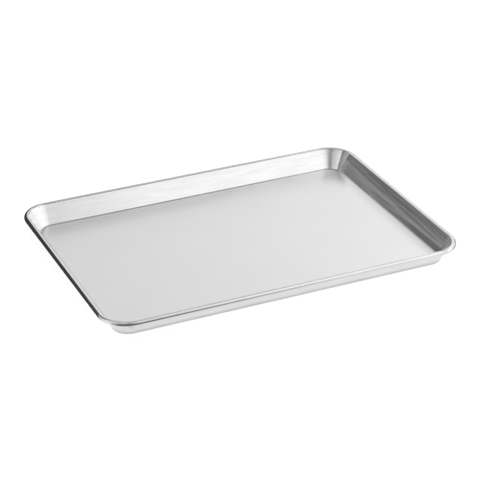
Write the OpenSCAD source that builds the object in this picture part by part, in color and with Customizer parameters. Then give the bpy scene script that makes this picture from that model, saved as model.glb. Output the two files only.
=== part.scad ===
// Jelly roll pan: one drawn aluminium sheet with its edge rolled round a steel rim wire.
// Millimetres, +Z up. The origin is on the underside, at the middle of the pan.
// X runs along the long sides and Y along the short sides.

/* [Pan] */
// Length over the rolled rim
pan_length = 454; // [300:1:660]
// Width over the rolled rim
pan_width = 327; // [220:1:460]
// Height from the underside of the floor to the top of the rim
pan_height = 25.5; // [20:0.5:50]
// Plan radius of the corners, at the outside of the rim
corner_radius = 37; // [30:1:60]

/* [Sheet] */
// Thickness of the aluminium sheet
sheet = 1; // [0.6:0.1:1.5]
// Plan distance from the outside of the rim to the line where the walls meet the floor
floor_inset = 19; // [14:0.5:24]
// Inside radius of the bend between the floor and the walls
floor_bend = 2.5; // [1.5:0.5:5]

/* [Rim] */
// Diameter of the steel wire inside the rolled rim
wire_diameter = 3.8; // [2.5:0.1:5]
// Play between the wire and the sheet that is rolled round it
wire_play = 0.1; // [0.05:0.05:0.25]
// Gap between the tucked edge of the sheet and the back of the wall
tuck_gap = 0.4; // [0.2:0.1:1.2]
// Gap between the two ends of the wire, at the middle of the back side
wire_joint = 0.8; // [0.4:0.1:3]

/* [Hidden] */
$fn = 64;

// The rolled rim, as radii about the middle of the wire
wire_radius = wire_diameter / 2;
curl_inside = wire_radius + wire_play;
curl_outside = curl_inside + sheet;

// A section is drawn as [distance out from the axis of the plan corner, height]
rim_x = corner_radius - curl_outside;
rim_z = pan_height - curl_outside;
floor_x = corner_radius - floor_inset;

// The wall runs straight from the floor line to a tangent of the rolled rim
run_x = rim_x - floor_x;
run_z = rim_z - sheet;
wall_angle = atan2(run_z, run_x) + asin(curl_outside / norm([run_x, run_z]));

// Middle of the bend at the floor
bend_x = floor_x - floor_bend * tan(wall_angle / 2);
bend_z = sheet + floor_bend;
bend_outside = floor_bend + sheet;

// The rolled edge starts at the top of the wall, goes over the wire and down the outside,
// and ends the tuck gap short of the wall's back
curl_start = wall_angle + 90;
curl_end = curl_start + acos((curl_inside - tuck_gap) / curl_outside) - 360;

// Steps on the round stretches of the section
bend_steps = 8;
curl_steps = 40;

// Straight lengths between the corners
straight_x = pan_length - 2 * corner_radius;
straight_y = pan_width - 2 * corner_radius;

// Points on an arc about [x, z], from one angle to another
function arc(x, z, radius, from, to, steps) =
    [for (i = [0:steps]) let (a = from + (to - from) * i / steps)
        [x + radius * cos(a), z + radius * sin(a)]];

// The sheet's section, from the axis of a plan corner out to the rolled rim
module sheet_section() {
    polygon(concat(
        [[0, 0]],
        arc(bend_x, bend_z, bend_outside, -90, wall_angle - 90, bend_steps),
        arc(rim_x, rim_z, curl_inside, curl_start, curl_end, curl_steps),
        arc(rim_x, rim_z, curl_outside, curl_end, curl_start, curl_steps),
        arc(bend_x, bend_z, floor_bend, wall_angle - 90, -90, bend_steps),
        [[0, sheet]]
    ));
}

// The wire's section
module wire_section() {
    translate([rim_x, rim_z]) circle(r = wire_radius);
}

// Carries a section along one side, centred, with the section facing out along X
module along_side(length) {
    translate([0, length / 2, 0]) rotate([90, 0, 0]) linear_extrude(length) children();
}

// Puts a section round the whole rim: four straight sides and four quarter turns
module round_the_rim() {
    for (turn = [0, 180]) rotate([0, 0, turn]) {
        translate([straight_x / 2, 0, 0]) along_side(straight_y) children();
        translate([0, straight_y / 2, 0]) rotate([0, 0, 90]) along_side(straight_x) children();
        translate([straight_x / 2, straight_y / 2, 0]) rotate_extrude(angle = 90) children();
        translate([-straight_x / 2, straight_y / 2, 0]) rotate([0, 0, 90])
            rotate_extrude(angle = 90) children();
    }
}

// One sheet: flat floor, walls and the edge rolled outwards round the wire
module pan_shell() {
    color("gainsboro") union() {
        translate([-straight_x / 2, -straight_y / 2, 0]) cube([straight_x, straight_y, sheet]);
        round_the_rim() sheet_section();
    }
}

// Steel wire that stiffens the rim, bent to a loop whose ends meet at the middle of the back side
module rim_wire() {
    cut = wire_diameter + 1;
    color("slategray") difference() {
        round_the_rim() wire_section();
        translate([-wire_joint / 2, straight_y / 2 + rim_x - cut / 2, rim_z - cut / 2])
            cube([wire_joint, cut, cut]);
    }
}

pan_shell();
rim_wire();
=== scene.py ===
"""Jelly roll pan: the looks of the drawn aluminium sheet and the steel rim wire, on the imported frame."""
import math

import bpy
from mathutils import Matrix, Vector


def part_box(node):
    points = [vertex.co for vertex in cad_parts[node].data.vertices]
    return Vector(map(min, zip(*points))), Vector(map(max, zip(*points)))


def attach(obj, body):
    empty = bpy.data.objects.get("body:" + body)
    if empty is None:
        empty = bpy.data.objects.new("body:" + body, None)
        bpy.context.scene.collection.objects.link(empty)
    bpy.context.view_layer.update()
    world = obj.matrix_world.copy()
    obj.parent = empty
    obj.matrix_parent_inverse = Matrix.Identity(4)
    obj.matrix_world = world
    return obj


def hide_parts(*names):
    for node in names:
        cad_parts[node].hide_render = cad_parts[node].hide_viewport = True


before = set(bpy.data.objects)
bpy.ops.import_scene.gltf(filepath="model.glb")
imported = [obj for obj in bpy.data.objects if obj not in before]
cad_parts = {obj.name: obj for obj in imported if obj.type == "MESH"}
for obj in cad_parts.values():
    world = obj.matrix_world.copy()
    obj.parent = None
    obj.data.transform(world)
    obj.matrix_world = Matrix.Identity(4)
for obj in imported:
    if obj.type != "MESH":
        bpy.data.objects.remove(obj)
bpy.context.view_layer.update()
MM = 0.001
WHITE = (1.0, 1.0, 1.0, 1.0)

# Camera, as measured from the photograph's edges. Pixels are those of its 480 x 480 frame.
CAMERA_AZIMUTH = math.radians(-23.985)
CAMERA_ELEVATION = math.radians(27.654)
CAMERA_ROLL = math.radians(-0.506)
CAMERA_DISTANCE = 2.18905
CAMERA_AIM = Vector((0.00897, 0.01054, 0.0))
FOCAL_PX = 1783.7
FRAME_PX = 480
SENSOR_MM = 36.0

# The sheet's section, in metres, as the solids have it
SHEET = 1.0 * MM
FLOOR_INSET = 19.0 * MM
FLOOR_BEND = 2.5 * MM
RIM_RADIUS = 3.0 * MM
TUCK_GAP = 0.4 * MM
CORNER_RADIUS = 37.0 * MM

# How far the walls bow inwards
WALL_BOW = 0.15 * MM

# Width of the level strip that frames the floor's two faces, and how far up the map these faces lie, clear
# of the rest
FLOOR_RIM = 2.0 * MM
FLOOR_MAP = 0.3

# Steps of the modelled sheet
BEND_STEPS = 12
WALL_STEPS = 12
CURL_STEPS = 64
CORNER_STEPS = 48
SIDE_STEPS = 24

# The sheet's darkest and lightest tone, its least and greatest roughness, the part of the roughness that
# is left on its walls, and how far its sheen is drawn out to one side
SHEET_TONES = (0.87, 0.915)
SHEET_ROUGHNESS = (0.18, 0.24)
WALL_POLISH = 0.7
SHEET_SHEEN = 0.6

# Half the width of the painted shade along the bend at the floor and of its darkest part, and the part of
# the tone that is left there
BEND_SHADE_HALF_WIDTH = 1.8 * MM
BEND_SHADE_CORE = 0.25 * BEND_SHADE_HALF_WIDTH
BEND_SHADE_TONE = 0.82

# How much lighter or darker the marks along the walls are, and the span of their noise that makes it so
MARK_DEPTH = 0.05
MARK_SPAN = (0.3, 0.7)

# How upright the surface's normal is, as the size of its Z, where the floor ends and where the walls begin
WALL_SPAN = (0.97, 0.75)

# Scales of the noise, for each metre: along the pan's axes for the clouds, the grain and the wire, and
# along the rim and across the section, as the map runs, for the bands and the marks
CLOUD_SCALE = (18.0, 18.0, 18.0)
GRAIN_SCALE = (14.0, 900.0, 900.0)
WIRE_SCALE = (400.0, 400.0, 400.0)
BAND_SCALE = (4.0, 75.0, 1.0)
MARK_SCALE = (22.0, 190.0, 1.0)

# Heights of the bands and of the grain, and how much of the grain's height shows on the sheet and the wire
BAND_HEIGHT = 0.3 * MM
GRAIN_HEIGHT = 0.1 * MM
SHEET_GRAIN = 0.03
WIRE_GRAIN = 0.1

# The wire's darkest and lightest colour, and its least and greatest roughness
WIRE_COLOURS = ((0.50, 0.51, 0.53, 1.0), (0.60, 0.61, 0.63, 1.0))
WIRE_ROUGHNESS = (0.25, 0.4)

# Floor: its side, how far it lies under the pan, its matt tone, and the white of its own that the camera
# sees and that reflections see
FLOOR_SIDE = 12.0
FLOOR_GAP = 0.1 * MM
FLOOR_TONE = 0.6
CAMERA_GLOW = 0.80
MIRROR_GLOW = 0.61

# The corners' radius at the edge of the pan's underside, the width of the painted contact shadow on either
# side of that edge, and the part of the floor's white that is left in that shadow
REST_RADIUS = 16.6 * MM
CONTACT_SHADOW_WIDTH = 7.0 * MM
CONTACT_SHADOW_TONE = 0.25

# Brightness of the dim room round the lamps and panels
ROOM_LEVEL = 0.19

# Lamps: name, size, brightness and place
LAMPS = (
    ("top_lamp", (1.6, 1.6), 1.2, (0.0, 0.0, 1.8)),
    ("left_lamp", (1.3, 0.9), 0.54, (-1.00, -0.30, 0.70)),
)

# Height of the ceiling, and the near and far edge in y of its two rows of panels
CEILING_Z = 1.6
CEILING_NEAR = (-0.2, 0.55)
CEILING_FAR = (0.55, 1.3)

# The upright panels: where those at the left change direction, the places of those at the right, at the
# back and at the left of the back, and the height of the top at the back
LEFT_FOLD = (-0.584, -0.406)
RIGHT_X = 1.3
BACK_Y = 1.2
BACK_LEFT_Y = 0.9
BACK_TOP_Z = 1.33

# The front leans towards the pan: the heights of its foot, of the seam across it, which is higher at the
# right, and of its top, the place of its foot, and how far it comes nearer for each metre up
FRONT_FOOT_Z = 0.1
FRONT_SEAM_Z = 0.286
RIGHT_SEAM_Z = 0.4
FRONT_TOP_Z = 0.72
FRONT_FOOT_Y = -0.82
FRONT_LEAN = 0.4516

# The hood above the front: its upper edge in y and z, and its way down from there towards the pan
HOOD_EDGE = (-0.54, 0.69)
HOOD_FALL = (0.0, 0.335, -0.34)

# The cards just above the floor: their height, the edges beside the pan of those at the left, in front and
# at the back, and the near and far edge in y of the narrow ones close to the front rim. Those at the left
# and
# in front are painted shadow: they stand in for the pan's shadow on the floor, as reflections see it.
CARD_Z = 0.3 * MM
CARDS_LEFT = -0.224
CARDS_FRONT = -0.177
CARDS_BACK = 0.185
NEAR_SHADOW_CARDS = (CARDS_FRONT, -0.151)

# Upright panels: name, start and end of the lower edge, height, and the tones at the start and the end
UPRIGHT_PANELS = (
    ("left_panel", (*LEFT_FOLD, 0.10), (-1.0, 0.2, 0.10), 0.78, (0.62, 0.90)),
    ("left_panel_front", (-0.43, -0.63, 0.29), (*LEFT_FOLD, 0.29), 0.59, (0.50, 0.62)),
    ("right_panel", (RIGHT_X, FRONT_FOOT_Y, 0.02), (RIGHT_X, 0.5, 0.02), 1.2, (1.22, 1.0)),
    ("right_panel_high", (RIGHT_X, 0.5, 0.8), (RIGHT_X, BACK_Y, 0.8), 0.5, (0.9, 0.75)),
    ("back_panel_left", (-0.75, BACK_Y, 0.3), (0.02, BACK_Y, 0.3), BACK_TOP_Z - 0.3, (0.58, 0.82)),
    ("back_panel", (0.02, BACK_Y, 0.08), (0.75, BACK_Y, 0.08), BACK_TOP_Z - 0.08, (0.733, 0.898)),
    ("back_panel_right", (0.75, BACK_Y, 0.41), (1.5, BACK_Y, 0.41), BACK_TOP_Z - 0.41, (0.90, 1.18)),
    ("left_back_panel", (-1.6, 0.386, 0.14), (-0.75, 0.85, 0.14), 0.71, (0.26, 0.45)),
    ("left_back_end", (-0.95, 0.89, 0.36), (-0.55, 0.89, 0.32), 0.22, (0.42, 0.42)),
    ("back_left_panel", (-2.2, BACK_LEFT_Y, 0.085), (-0.35, BACK_LEFT_Y, 0.085), 0.405, (0.10, 0.10)),
    ("back_left_fade", (-0.35, BACK_LEFT_Y, 0.085), (0.02, BACK_LEFT_Y, 0.085), 0.405, (0.13, 0.80)),
    ("strip_rising", (-0.80, 0.895, 0.296), (-0.56, 0.895, 0.187), 0.041, (0.34, 0.36)),
    ("strip_level", (-0.56, 0.895, 0.187), (-0.33, 0.895, 0.140), 0.043, (0.36, 0.35)),
    ("left_flag", (-0.5, 0.2, CARD_Z), (-0.188, 0.2, CARD_Z), 0.28, (0.04, 0.04)),
    ("back_flag", (-0.45, 0.30, CARD_Z), (0.40, 0.30, CARD_Z), 0.03, (0.04, 0.10)),
    ("right_flag", (0.45, 0.45, CARD_Z), (1.1, 0.45, CARD_Z), 0.23, (0.9, 0.9)),
)

# Panels of the front: name, start and end in x, bottom and top in z, and tones
FRONT_PANELS = (
    ("front_low_left", (-0.3, 0.25), (FRONT_FOOT_Z, FRONT_SEAM_Z), (0.36, 0.80)),
    ("front_low", (0.25, 0.55), (FRONT_FOOT_Z, FRONT_SEAM_Z), (0.82, 0.95)),
    ("front_low_right", (0.55, RIGHT_X), (FRONT_FOOT_Z, RIGHT_SEAM_Z), (0.72, 0.72)),
    ("front_panel_left", (-0.3, -0.13), (FRONT_SEAM_Z, FRONT_TOP_Z), (0.36, 0.36)),
    ("front_panel_fade", (-0.13, 0.06), (FRONT_SEAM_Z, FRONT_TOP_Z), (0.36, 0.76)),
    ("front_panel", (0.06, 0.28), (FRONT_SEAM_Z, FRONT_TOP_Z), (0.77, 1.02)),
    ("front_panel_middle", (0.28, 0.55), (FRONT_SEAM_Z, FRONT_TOP_Z), (1.02, 1.09)),
    ("front_panel_right", (0.55, RIGHT_X), (RIGHT_SEAM_Z, FRONT_TOP_Z), (1.10, 1.24)),
)

# Level panels: name, height, start and end in x, near and far edge in y, and tones
LEVEL_PANELS = (
    ("ceiling_panel", CEILING_Z, (0.15, 1.15), CEILING_NEAR, (0.64, 1.04)),
    ("ceiling_panel_left", CEILING_Z, (-1.5, 0.15), CEILING_NEAR, (0.42, 0.60)),
    ("ceiling_back_left", CEILING_Z, (-0.7, 0.1), CEILING_FAR, (0.45, 0.45)),
    ("ceiling_back_right", CEILING_Z, (0.86, 1.5), CEILING_FAR, (0.66, 0.95)),
    ("ceiling_far", 4.0, (2.15, 3.6), (-2.9, -0.4), (1.0, 1.1)),
    # Cards beside the pan: those at the left and in front are painted shadow of the pan on the floor, as
    # reflections see it
    ("front_left_card", CARD_Z, (-1.0, CARDS_LEFT), (-1.1, -0.23), (0.10, 0.03)),
    ("front_left_near", CARD_Z, (-0.36, CARDS_LEFT), (-0.23, CARDS_FRONT), (0.80, 0.03)),
    ("back_card", CARD_Z, (CARDS_LEFT, 0.6), (CARDS_BACK, 0.785), (0.05, 0.2)),
    ("near_card_left", CARD_Z, (-0.30, -0.226), NEAR_SHADOW_CARDS, (0.72, 0.08)),
    ("near_card_corner", CARD_Z, (-0.226, -0.19), NEAR_SHADOW_CARDS, (0.08, 0.75)),
    ("near_card", CARD_Z, (-0.19, 0.35), NEAR_SHADOW_CARDS, (0.78, 0.86)),
)

# The other panels: name, start and end of one edge, the way from it to the opposite edge, and tones. The
# last one fades softly.
OTHER_PANELS = (
    ("front_hood", (-0.4, *HOOD_EDGE), (0.15, *HOOD_EDGE), HOOD_FALL, (0.7, 0.9)),
    ("front_hood_end", (0.15, *HOOD_EDGE), (1.0, *HOOD_EDGE), HOOD_FALL, (0.9, 1.25)),
    # The left and front cards are painted shadow of the pan on the floor, as reflections see it
    ("left_card", (-0.824, 0.44, CARD_Z), (CARDS_LEFT, -0.135, CARD_Z), (0.0, 1.0, 0.0), (0.04, 0.04)),
    ("right_card", (0.24, -0.16, CARD_Z), (0.24, CARDS_BACK, CARD_Z), (0.36, 0.0, 0.0), (0.10, 0.60)),
    ("front_card", (CARDS_LEFT, -0.6, CARD_Z), (0.2, -0.6, CARD_Z), (0.0, 0.423, 0.0), (0.05, 0.85),
     "SMOOTHSTEP"),
)


def add_camera():
    """The photograph's view."""
    az, el = CAMERA_AZIMUTH, CAMERA_ELEVATION
    back = Vector((math.sin(az) * math.cos(el), -math.cos(az) * math.cos(el), math.sin(el)))
    right = Vector((math.cos(az), math.sin(az), 0.0))
    up = back.cross(right)
    turned_right = right * math.cos(CAMERA_ROLL) + up * math.sin(CAMERA_ROLL)
    turned_up = up * math.cos(CAMERA_ROLL) - right * math.sin(CAMERA_ROLL)
    rotation = Matrix((turned_right, turned_up, back)).transposed().to_4x4()
    data = bpy.data.cameras.new("camera")
    data.sensor_width = SENSOR_MM
    data.lens = FOCAL_PX / FRAME_PX * SENSOR_MM
    camera = bpy.data.objects.new("camera", data)
    camera.matrix_world = Matrix.Translation(CAMERA_AIM + back * CAMERA_DISTANCE) @ rotation
    bpy.context.scene.collection.objects.link(camera)
    bpy.context.scene.camera = camera


def arc(x, z, radius, start, end, steps):
    """Points on an arc about (x, z)."""
    angles = [start + (end - start) * i / steps for i in range(steps + 1)]
    return [(x + radius * math.cos(a), z + radius * math.sin(a)) for a in angles]


def wall_line(start, end, bow):
    """Points between the ends of a wall. Their curve is a parabola that stands proud of the straight line by
    the bow at its middle."""
    run = Vector(end) - Vector(start)
    side = Vector((-run.y, run.x)).normalized()
    points = []
    for i in range(1, WALL_STEPS):
        t = i / WALL_STEPS
        points.append(tuple(Vector(start) + run * t + side * bow * 4 * t * (1 - t)))
    return points


def sheet_section(height):
    """The two faces of the sheet's section: from under the floor up and round the inside of the rolled edge,
    and back round its outside to the floor's top. Each point is (distance out from a plan corner's axis,
    height)."""
    rim_x = CORNER_RADIUS - RIM_RADIUS
    rim_z = height - RIM_RADIUS
    inside = RIM_RADIUS - SHEET
    run_x = rim_x - (CORNER_RADIUS - FLOOR_INSET)
    run_z = rim_z - SHEET
    wall = math.atan2(run_z, run_x) + math.asin(RIM_RADIUS / math.hypot(run_x, run_z))
    bend_x = CORNER_RADIUS - FLOOR_INSET - FLOOR_BEND * math.tan(wall / 2)
    bend_z = SHEET + FLOOR_BEND
    down = -math.pi / 2
    start = wall + math.pi / 2
    end = start + math.acos((inside - TUCK_GAP) / RIM_RADIUS) - 2 * math.pi
    under_bend = arc(bend_x, bend_z, FLOOR_BEND + SHEET, down, wall + down, BEND_STEPS)
    curl_inside = arc(rim_x, rim_z, inside, start, end, CURL_STEPS)
    curl_outside = arc(rim_x, rim_z, RIM_RADIUS, end, start, CURL_STEPS)
    over_bend = arc(bend_x, bend_z, FLOOR_BEND, wall + down, down, BEND_STEPS)
    under = [(bend_x - FLOOR_RIM, 0.0)] + under_bend
    under += wall_line(under_bend[-1], curl_inside[0], WALL_BOW) + curl_inside
    over = curl_outside + wall_line(curl_outside[-1], over_bend[0], -WALL_BOW)
    over += over_bend + [(bend_x - FLOOR_RIM, SHEET)]
    return under, over


def rim_stations(half_x, half_y):
    """Places round the pan, as (x, y, outward angle): the section is set up at each."""
    stations = []
    for quarter in range(4):
        turn = quarter * math.pi / 2
        centre_x = half_x if quarter in (0, 3) else -half_x
        centre_y = half_y if quarter in (0, 1) else -half_y
        for i in range(CORNER_STEPS + 1):
            stations.append((centre_x, centre_y, turn + math.pi / 2 * i / CORNER_STEPS))
        next_x = half_x if quarter in (2, 3) else -half_x
        next_y = half_y if quarter in (0, 3) else -half_y
        for i in range(1, SIDE_STEPS):
            t = i / SIDE_STEPS
            x = centre_x + (next_x - centre_x) * t
            y = centre_y + (next_y - centre_y) * t
            stations.append((x, y, turn + math.pi / 2))
    return stations


def distances(points):
    """How far along a line of points each of them is."""
    total, found = 0.0, [0.0]
    for before, after in zip(points, points[1:]):
        total += (Vector(after) - Vector(before)).length
        found.append(total)
    return found


def build_sheet(low, high):
    """The pan's sheet as one closed mesh with smooth faces. Its map runs round the rim and across the
    section. Also gives the place of the bend at the floor, across the map."""
    under, over = sheet_section(high.z - low.z)
    section = under + over
    stations = rim_stations(high.x - CORNER_RADIUS, high.y - CORNER_RADIUS)
    size, count = len(section), len(stations)
    points, faces, places = [], [], []
    for x, y, a in stations:
        for r, z in section:
            points.append((x + r * math.cos(a), y + r * math.sin(a), low.z + z))
    rim = [points[i * size] for i in range(count)]
    along = distances(rim + rim[:1])
    across = distances(section)
    for i in range(count):
        j = (i + 1) % count
        for k in range(size - 1):
            faces.append((i * size + k, j * size + k, j * size + k + 1, i * size + k + 1))
            places += [(along[i], across[k]), (along[i + 1], across[k])]
            places += [(along[i + 1], across[k + 1]), (along[i], across[k + 1])]
    # The floor, closed by one face below and one above
    faces.append([i * size for i in reversed(range(count))])
    faces.append([i * size + size - 1 for i in range(count)])
    places += [(points[v][0], points[v][1] + FLOOR_MAP) for face in faces[-2:] for v in face]
    mesh = bpy.data.meshes.new("pan_sheet")
    mesh.from_pydata(points, [], faces)
    mesh.polygons.foreach_set("use_smooth", [True] * len(mesh.polygons))
    uv = mesh.uv_layers.new(name="sheet")
    for corner, place in zip(uv.data, places):
        corner.uv = place
    # The sheet's cut edge, inside the roll, is sharp
    cut = {len(under) - 1, len(under)}
    for edge in mesh.edges:
        a, b = edge.vertices
        edge.use_edge_sharp = a % size == b % size and a % size in cut
    mesh.update()
    piece = bpy.data.objects.new("pan_sheet", mesh)
    bpy.context.scene.collection.objects.link(piece)
    # The painted shade line's middle lies a little way up the bend
    bend_place = across[-1] - FLOOR_RIM - BEND_SHADE_HALF_WIDTH / 2
    return piece, bend_place


def feed(tree, socket, value):
    """Links an input to another node's output, or sets it to a plain value."""
    if isinstance(value, bpy.types.NodeSocket):
        tree.links.new(value, socket)
    else:
        socket.default_value = value


def node(tree, kind, *values, **settings):
    """A new shader node. The values go to its inputs in their order, the settings to its properties and its
    inputs by name."""
    made = tree.nodes.new(kind)
    for key, value in settings.items():
        if key in made.inputs:
            feed(tree, made.inputs[key], value)
        else:
            setattr(made, key, value)
    for socket, value in zip(made.inputs, values):
        feed(tree, socket, value)
    return made


def maths(tree, operation, *values):
    """The number that a maths node makes of its values."""
    return node(tree, "ShaderNodeMath", *values, operation=operation).outputs["Value"]


def vectors(tree, operation, *values):
    """The vector that a vector maths node makes of its values."""
    return node(tree, "ShaderNodeVectorMath", *values, operation=operation).outputs["Vector"]


def remap(tree, value, ends, span=(0.0, 1.0), interpolation="LINEAR"):
    """A number that goes from one end to the other while the value goes over its span."""
    made = node(tree, "ShaderNodeMapRange", Value=value, interpolation_type=interpolation)
    made.inputs["From Min"].default_value = span[0]
    made.inputs["From Max"].default_value = span[1]
    made.inputs["To Min"].default_value = ends[0]
    made.inputs["To Max"].default_value = ends[1]
    return made.outputs["Result"]


def noise(tree, place, scale, detail=3.0, roughness=0.6):
    """Noise about a half, with a scale of its own along each axis."""
    stretched = node(tree, "ShaderNodeMapping", Vector=place, Scale=scale).outputs["Vector"]
    made = node(tree, "ShaderNodeTexNoise", Vector=stretched, Scale=1.0, Detail=detail, Roughness=roughness)
    return made.outputs["Fac"]


def blend(tree, share, colours):
    """The first colour where the share is 0, and the second where it is 1."""
    made = node(tree, "ShaderNodeMix", data_type="RGBA", A=colours[0], B=colours[1], Factor=share)
    return made.outputs["Result"]


def bump(tree, height, distance, strength=1.0):
    """A node that gives the surface relief of that height."""
    return node(tree, "ShaderNodeBump", Height=height, Distance=distance, Strength=strength)


def grey(tone):
    """A grey as a colour."""
    return (tone, tone, tone, 1.0)


def metal(name):
    """A new metallic material, with its node tree and its shader."""
    material = bpy.data.materials.new(name)
    material.use_nodes = True
    shader = material.node_tree.nodes["Principled BSDF"]
    shader.inputs["Metallic"].default_value = 1.0
    return material, material.node_tree, shader


def empty_tree(owner):
    """The node tree of a new material or world, with nothing in it."""
    owner.use_nodes = True
    owner.node_tree.nodes.clear()
    return owner.node_tree


def wall_share(tree, normal):
    """0 where the sheet is level, and 1 on its walls and the sides of its rim."""
    facing = node(tree, "ShaderNodeSeparateXYZ", normal)
    level = maths(tree, "ABSOLUTE", facing.outputs["Z"])
    return remap(tree, level, (0.0, 1.0), WALL_SPAN, "SMOOTHSTEP")


def bend_shade(tree, place, bend_place):
    """The part of the tone that is left along the bend at the floor, where shade is painted."""
    across = node(tree, "ShaderNodeSeparateXYZ", place).outputs["Y"]
    from_bend = maths(tree, "ABSOLUTE", maths(tree, "SUBTRACT", across, bend_place))
    return remap(tree, from_bend, (BEND_SHADE_TONE, 1.0), (BEND_SHADE_CORE, BEND_SHADE_HALF_WIDTH), "SMOOTHSTEP")


def satin_aluminium(bend_place):
    """Rolled aluminium sheet: a soft sheen drawn out across its fine grain, faint marks and cloudiness.
    It has painted shade along a line at the floor's bend, whose place on the map is given."""
    material, tree, shader = metal("satin_aluminium")
    shader.inputs["Anisotropic"].default_value = SHEET_SHEEN
    place = node(tree, "ShaderNodeTexCoord")
    normal = node(tree, "ShaderNodeNewGeometry").outputs["Normal"]
    wall = wall_share(tree, normal)

    # Tone: cloudy, with painted shade along the bend, and faint marks along the walls and the rim
    cloud = noise(tree, place.outputs["Object"], CLOUD_SCALE, roughness=0.55)
    tone = blend(tree, cloud, [grey(value) for value in SHEET_TONES])
    # Painted shade along the bend at the floor
    bend_painted_shade = bend_shade(tree, place.outputs["UV"], bend_place)
    mark = noise(tree, place.outputs["UV"], MARK_SCALE)
    depth = remap(tree, mark, (-MARK_DEPTH, MARK_DEPTH), MARK_SPAN)
    marked = maths(tree, "MULTIPLY_ADD", depth, wall, 1.0)
    shade = maths(tree, "MULTIPLY", bend_painted_shade, marked)
    shaded = node(tree, "ShaderNodeVectorMath", operation="SCALE", Vector=tone, Scale=shade)
    feed(tree, shader.inputs["Base Color"], shaded.outputs["Vector"])

    # Roughness: that of the fine grain along the pan, smoother on the walls
    grain = noise(tree, place.outputs["Object"], GRAIN_SCALE)
    rough = remap(tree, grain, SHEET_ROUGHNESS)
    polish = remap(tree, wall, (1.0, WALL_POLISH))
    feed(tree, shader.inputs["Roughness"], maths(tree, "MULTIPLY", rough, polish))

    # Soft bands along the walls and the rim, from drawing, and the grain on them. The floor has no bands.
    band = noise(tree, place.outputs["UV"], BAND_SCALE, detail=2.0, roughness=0.5)
    swing = maths(tree, "SUBTRACT", band, 0.5)
    worn = bump(tree, maths(tree, "MULTIPLY", swing, wall), BAND_HEIGHT)
    fine = bump(tree, grain, GRAIN_HEIGHT, SHEET_GRAIN)
    feed(tree, fine.inputs["Normal"], worn.outputs["Normal"])
    feed(tree, shader.inputs["Normal"], fine.outputs["Normal"])

    # The sheen spreads across the grain, which runs along X
    feed(tree, shader.inputs["Tangent"], vectors(tree, "CROSS_PRODUCT", normal, (1.0, 0.0, 0.0)))
    return material


def drawn_steel():
    """Bright drawn wire: fine lines and a darker, harder sheen than the sheet."""
    material, tree, shader = metal("drawn_steel")
    place = node(tree, "ShaderNodeTexCoord")
    grain = noise(tree, place.outputs["Object"], WIRE_SCALE, roughness=0.5)
    feed(tree, shader.inputs["Base Color"], blend(tree, grain, WIRE_COLOURS))
    feed(tree, shader.inputs["Roughness"], remap(tree, grain, WIRE_ROUGHNESS))
    fine = bump(tree, grain, GRAIN_HEIGHT, WIRE_GRAIN)
    feed(tree, shader.inputs["Normal"], fine.outputs["Normal"])
    return material


def mirrored_white_and_shadow(tree, corner_axis):
    """The floor's white as reflections see it, with a painted contact shadow along the edge of the pan's
    underside.
    The underside's corners are round, about the given axis and its like in the other quarters."""
    place = node(tree, "ShaderNodeTexCoord").outputs["Object"]
    beyond = vectors(tree, "SUBTRACT", vectors(tree, "ABSOLUTE", place), corner_axis)
    outside = vectors(tree, "MAXIMUM", beyond, (0.0, 0.0, 0.0))
    distance = node(tree, "ShaderNodeVectorMath", outside, operation="LENGTH").outputs["Value"]
    from_edge = maths(tree, "ABSOLUTE", maths(tree, "SUBTRACT", distance, REST_RADIUS))
    # Painted contact shadow: the white is darker near the edge of the pan's underside
    shadow_and_white = (CONTACT_SHADOW_TONE * MIRROR_GLOW, MIRROR_GLOW)
    return remap(tree, from_edge, shadow_and_white, (0.0, CONTACT_SHADOW_WIDTH), "SMOOTHSTEP")


def floor_material(corner_axis):
    """Pale matt floor. A white of its own, for the rays that show a background, takes it to white.
    It can be seen through from below, where the pan's underside shows."""
    material = bpy.data.materials.new("floor")
    tree = empty_tree(material)
    path = node(tree, "ShaderNodeLightPath")
    # The floor's white for reflections, with the pan's contact shadow painted in
    white = mirrored_white_and_shadow(tree, corner_axis)
    mirror = maths(tree, "MULTIPLY", path.outputs["Is Glossy Ray"], white)
    strength = maths(tree, "MULTIPLY_ADD", path.outputs["Is Camera Ray"], CAMERA_GLOW, mirror)
    matt = node(tree, "ShaderNodeBsdfDiffuse", Color=grey(FLOOR_TONE))
    glow = node(tree, "ShaderNodeEmission", Color=WHITE, Strength=strength)
    both = node(tree, "ShaderNodeAddShader", matt.outputs["BSDF"], glow.outputs["Emission"])
    side = node(tree, "ShaderNodeNewGeometry")
    clear = node(tree, "ShaderNodeBsdfTransparent")
    sided = node(tree, "ShaderNodeMixShader", side.outputs["Backfacing"], both.outputs["Shader"],
                 clear.outputs["BSDF"])
    node(tree, "ShaderNodeOutputMaterial", Surface=sided.outputs["Shader"])
    return material


def add_floor(corner_axis):
    """The floor, a square under the pan."""
    half = FLOOR_SIDE / 2
    mesh = bpy.data.meshes.new("floor")
    corners = [(-half, -half, 0.0), (half, -half, 0.0), (half, half, 0.0), (-half, half, 0.0)]
    mesh.from_pydata(corners, [], [(0, 1, 2, 3)])
    mesh.materials.append(floor_material(corner_axis))
    made = bpy.data.objects.new("floor", mesh)
    made.location.z = -FLOOR_GAP
    bpy.context.scene.collection.objects.link(made)


def add_world():
    """A dim room, white to the camera."""
    world = bpy.data.worlds.new("studio")
    bpy.context.scene.world = world
    tree = empty_tree(world)
    path = node(tree, "ShaderNodeLightPath")
    level = remap(tree, path.outputs["Is Camera Ray"], (ROOM_LEVEL, 1.0))
    shade = node(tree, "ShaderNodeBackground", Color=WHITE, Strength=level)
    node(tree, "ShaderNodeOutputWorld", Surface=shade.outputs["Background"])


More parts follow.
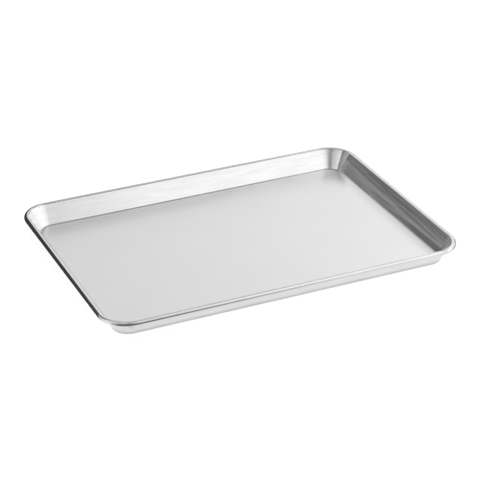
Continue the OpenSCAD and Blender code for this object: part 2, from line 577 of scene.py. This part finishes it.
def lamp(name, size, radiance, place):
    """A rectangular lamp of a given brightness that faces the pan. Neither the camera nor reflections see
    it."""
    data = bpy.data.lights.new(name, "AREA")
    data.shape = "RECTANGLE"
    data.size, data.size_y = size
    data.energy = radiance * math.pi * size[0] * size[1]
    light = bpy.data.objects.new(name, data)
    light.location = place
    to_pan = Vector() - Vector(place)
    light.rotation_euler = to_pan.to_track_quat("-Z", "Y").to_euler()
    light.visible_camera = False
    light.visible_glossy = False
    bpy.context.scene.collection.objects.link(light)


def panel(name, start, end, rise, tones, fading="LINEAR"):
    """A panel of the studio, which only reflections see: bright ones fill the metal, dark ones give it its
    edges. It runs from start to end and is as wide as its rise, with one tone at each end."""
    run, rise = Vector(end) - Vector(start), Vector(rise)
    material = bpy.data.materials.new(name)
    tree = empty_tree(material)
    place = node(tree, "ShaderNodeTexCoord").outputs["Object"]
    along = node(tree, "ShaderNodeVectorMath", place, run.normalized(), operation="DOT_PRODUCT")
    tone = remap(tree, along.outputs["Value"], tones, (0.0, run.length), fading)
    glow = node(tree, "ShaderNodeEmission", Color=WHITE, Strength=tone)
    node(tree, "ShaderNodeOutputMaterial", Surface=glow.outputs["Emission"])
    mesh = bpy.data.meshes.new(name)
    mesh.from_pydata([Vector(), run, run + rise, rise], [], [(0, 1, 2, 3)])
    mesh.materials.append(material)
    made = bpy.data.objects.new(name, mesh)
    made.location = start
    made.visible_camera = False
    made.visible_diffuse = False
    made.visible_shadow = False
    bpy.context.scene.collection.objects.link(made)


def front_point(x, z):
    """A point of the leaning front."""
    return Vector((x, FRONT_FOOT_Y + (z - FRONT_FOOT_Z) * FRONT_LEAN, z))


def add_stage(corner_axis):
    """Floor, lamps and panels."""
    add_floor(corner_axis)
    for name, size, radiance, place in LAMPS:
        lamp(name, size, radiance, place)
    for name, start, end, height, tones in UPRIGHT_PANELS:
        panel(name, start, end, (0.0, 0.0, height), tones)
    for name, (left, right), (bottom, top), tones in FRONT_PANELS:
        start = front_point(left, bottom)
        panel(name, start, front_point(right, bottom), front_point(left, top) - start, tones)
    for name, z, (left, right), (near, far), tones in LEVEL_PANELS:
        panel(name, (left, near, z), (right, near, z), (0.0, far - near, 0.0), tones)
    for row in OTHER_PANELS:
        panel(*row)


shell_low, shell_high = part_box("pan_shell")
add_camera()
add_world()
add_stage((shell_high.x - CORNER_RADIUS, shell_high.y - CORNER_RADIUS, 0.0))

sheet, bend_place = build_sheet(shell_low, shell_high)
sheet.data.materials.append(satin_aluminium(bend_place))
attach(sheet, "root")
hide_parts("pan_shell")

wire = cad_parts["rim_wire"]
wire.data.materials.clear()
wire.data.materials.append(drawn_steel())

bpy.context.scene.view_settings.view_transform = "Standard"
